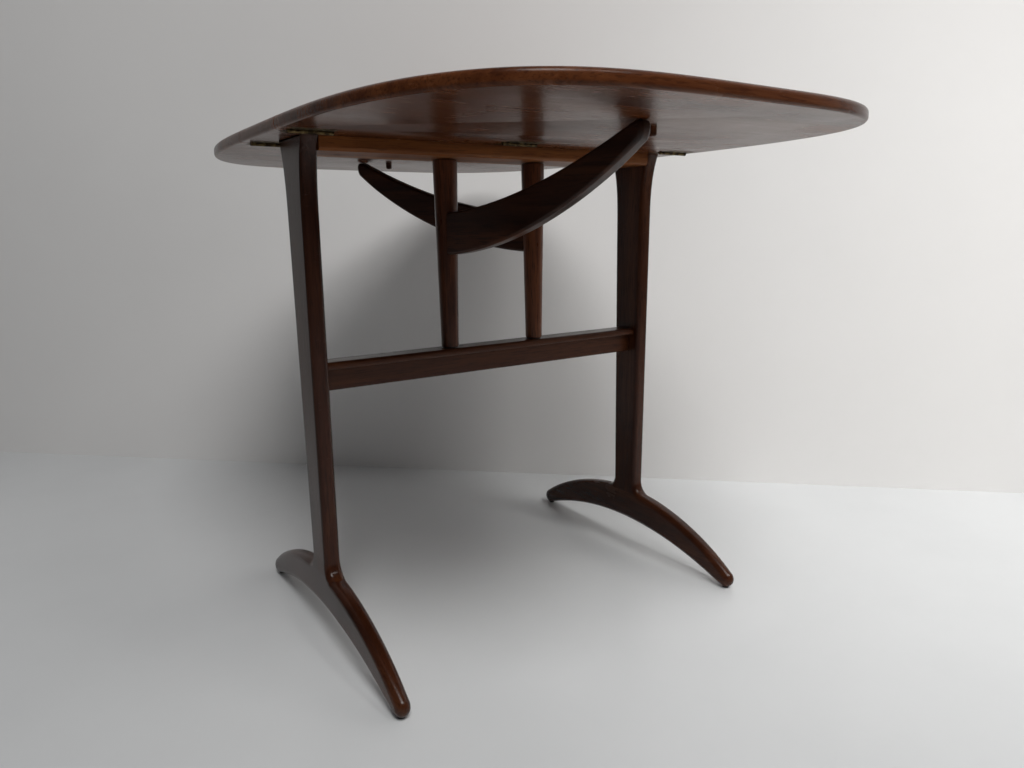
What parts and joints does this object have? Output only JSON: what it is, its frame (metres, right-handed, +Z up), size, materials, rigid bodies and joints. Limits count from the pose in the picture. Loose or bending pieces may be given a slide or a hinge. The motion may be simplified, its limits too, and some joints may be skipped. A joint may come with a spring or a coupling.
{
  "type": "drop leaf table",
  "caption": "Low drop leaf table with an oval top, hinged leaves, swing-out support arms on turned spindles, and board posts on arched feet.",
  "frame": {"origin": "on the floor below the middle of the open top", "axes": "+X along the leaf seams, +Y across the leaves towards the rear leaf, +Z up"},
  "size_m": [0.533, 0.76, 0.55],
  "materials": {
    "top_wood": "gloss",
    "rail_wood": "satin",
    "frame_wood": "gloss",
    "dowel_wood": "matte",
    "brass": "aged",
    "pin_steel": "satin",
    "glide_nylon": "matte"
  },
  "bodies": {
    "frame": {"centre_top": "top_wood", "top_rail": "rail_wood", "left_post": "frame_wood", "right_post": "frame_wood", "left_foot": "frame_wood", "right_foot": "frame_wood", "left_foot_glides": "glide_nylon", "right_foot_glides": "glide_nylon", "stretcher_cap": "frame_wood", "stretcher_rail": "frame_wood", "spindle_washers": "glide_nylon", "post_head_dowels": "dowel_wood", "rail_end_dowels": "dowel_wood", "cap_dowels": "dowel_wood", "rail_screws": "brass", "centre_hinge_screws": "brass", "front_left_fixed_plate": "brass", "front_middle_fixed_plate": "brass", "front_right_fixed_plate": "brass", "rear_left_fixed_plate": "brass", "rear_middle_fixed_plate": "brass", "rear_right_fixed_plate": "brass", "front_left_hinge_pin": "pin_steel", "front_middle_hinge_pin": "pin_steel", "front_right_hinge_pin": "pin_steel", "rear_left_hinge_pin": "pin_steel", "rear_middle_hinge_pin": "pin_steel", "rear_right_hinge_pin": "pin_steel"},
    "front_leaf_part": {"front_leaf": "top_wood", "front_stop_peg": "frame_wood", "front_leaf_hinge_screws": "brass", "front_left_moving_plate": "brass", "front_middle_moving_plate": "brass", "front_right_moving_plate": "brass"},
    "rear_leaf_part": {"rear_leaf": "top_wood", "rear_stop_peg": "frame_wood", "rear_leaf_hinge_screws": "brass", "rear_left_moving_plate": "brass", "rear_middle_moving_plate": "brass", "rear_right_moving_plate": "brass"},
    "front_swing_arm": {"front_spindle": "frame_wood", "front_arm": "frame_wood", "front_arm_dowels": "dowel_wood", "front_upper_pivot": "dowel_wood", "front_lower_pivot": "dowel_wood"},
    "rear_swing_arm": {"rear_spindle": "frame_wood", "rear_arm": "frame_wood", "rear_arm_dowels": "dowel_wood", "rear_upper_pivot": "dowel_wood", "rear_lower_pivot": "dowel_wood"}
  },
  "joints": [
    {"name": "front_leaf_lift", "type": "hinge", "parent": "frame", "child": "front_leaf_part", "pos_m": [0, -0.0605, 0.537], "axis": [-1, 0, 0], "range_deg": [0, 3]},
    {"name": "rear_leaf_lift", "type": "hinge", "parent": "frame", "child": "rear_leaf_part", "pos_m": [0, 0.0605, 0.537], "axis": [1, 0, 0], "range_deg": [0, 3]},
    {"name": "front_arm_swing", "type": "hinge", "parent": "frame", "child": "front_swing_arm", "pos_m": [-0.06, 0, 0.42], "axis": [0, 0, 1], "range_deg": [-10, 69.5]},
    {"name": "rear_arm_swing", "type": "hinge", "parent": "frame", "child": "rear_swing_arm", "pos_m": [0.06, 0, 0.42], "axis": [0, 0, 1], "range_deg": [-25, 54.5]}
  ]
}
